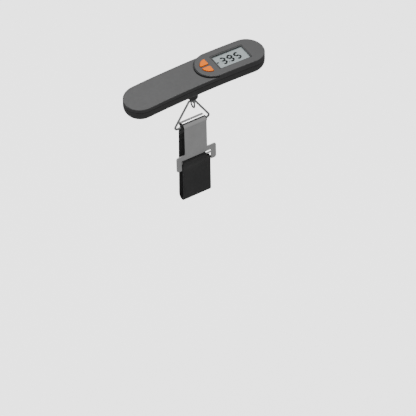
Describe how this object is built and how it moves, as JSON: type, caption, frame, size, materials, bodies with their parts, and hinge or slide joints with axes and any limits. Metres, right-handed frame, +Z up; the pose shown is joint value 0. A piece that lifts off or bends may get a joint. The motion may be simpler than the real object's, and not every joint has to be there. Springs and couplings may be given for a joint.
{
  "type": "digital luggage scale",
  "caption": "Handheld hanging scale: arched handle with display head and buttons, swivel eye, wire ring and a webbing strap closed by a stamped hook plate.",
  "frame": {"origin": "on the swivel axis, level with the parting line between the upper and lower shells", "axes": "+X towards the display head, -Y towards the reader, +Z up with the scale held level and the strap hanging"},
  "size_m": [0.16, 0.037, 0.1705],
  "materials": {
    "housing_plastic": "satin",
    "black_plastic": "satin",
    "orange_plastic": "satin",
    "clear_lens": "polished",
    "lcd_glass": "smooth",
    "silicone": "matte",
    "board_laminate": "satin",
    "wire_steel": "satin",
    "plate_steel": "satin",
    "beam_aluminium": "machined",
    "contact_brass": "plated",
    "gauge_foil": "foil",
    "webbing": "woven",
    "lead_sheath": "smooth"
  },
  "bodies": {
    "housing": {"upper_shell": "housing_plastic", "lower_shell": "housing_plastic", "hook_collar": "housing_plastic", "window_bezel": "black_plastic", "lcd_holder": "black_plastic", "battery_holder": "black_plastic", "power_switch": "black_plastic", "unit_switch": "black_plastic", "controller_chip": "black_plastic", "display_lens": "clear_lens", "lcd_cell": "lcd_glass", "zebra_strip_front": "silicone", "zebra_strip_rear": "silicone", "circuit_board": "board_laminate", "load_cell": "beam_aluminium", "strain_gauge_top": "gauge_foil", "strain_gauge_bottom": "gauge_foil", "load_cell_screw_1": "wire_steel", "load_cell_screw_2": "wire_steel", "housing_screw_1": "wire_steel", "housing_screw_2": "wire_steel", "housing_screw_3": "wire_steel", "housing_screw_4": "wire_steel", "swivel_washer": "contact_brass", "coin_cell": "wire_steel", "battery_contact_positive": "contact_brass", "battery_contact_negative": "contact_brass", "load_cell_cable": "lead_sheath", "battery_cable": "lead_sheath"},
    "power_button": {"power_button": "orange_plastic"},
    "unit_button": {"unit_button": "orange_plastic"},
    "battery_door": {"battery_door": "housing_plastic"},
    "swivel_hook": {"swivel_eye": "wire_steel", "swivel_nut": "wire_steel"},
    "ring": {"triangle_ring": "wire_steel"},
    "strap": {"strap": "webbing"},
    "hook_plate": {"hook_plate": "plate_steel", "strap_end_loop": "webbing"}
  },
  "joints": [
    {"name": "power_press", "type": "slide", "parent": "housing", "child": "power_button", "axis": [-0.0293, 0, -0.9996], "range_m": [0, 0.0008], "stiffness_N_per_m": 600},
    {"name": "unit_press", "type": "slide", "parent": "housing", "child": "unit_button", "axis": [-0.0293, 0, -0.9996], "range_m": [0, 0.0008], "stiffness_N_per_m": 600},
    {"name": "door_release", "type": "slide", "parent": "housing", "child": "battery_door", "axis": [0, 0, -1], "range_m": [0, 0.006]},
    {"name": "hook_swivel", "type": "hinge", "parent": "housing", "child": "swivel_hook", "pos_m": [0, 0, -0.0274], "axis": [0, 0, 1], "continuous": true},
    {"name": "ring_swing", "type": "hinge", "parent": "swivel_hook", "child": "ring", "pos_m": [0, 0, -0.0309], "axis": [1, 0, 0], "range_deg": [-60, 60]},
    {"name": "strap_swing", "type": "hinge", "parent": "ring", "child": "strap", "pos_m": [0, 0, -0.062], "axis": [1, 0, 0], "range_deg": [-25, 25]},
    {"name": "plate_lift", "type": "slide", "parent": "strap", "child": "hook_plate", "axis": [0, 0, 1], "range_m": [0, 0.0045]}
  ]
}
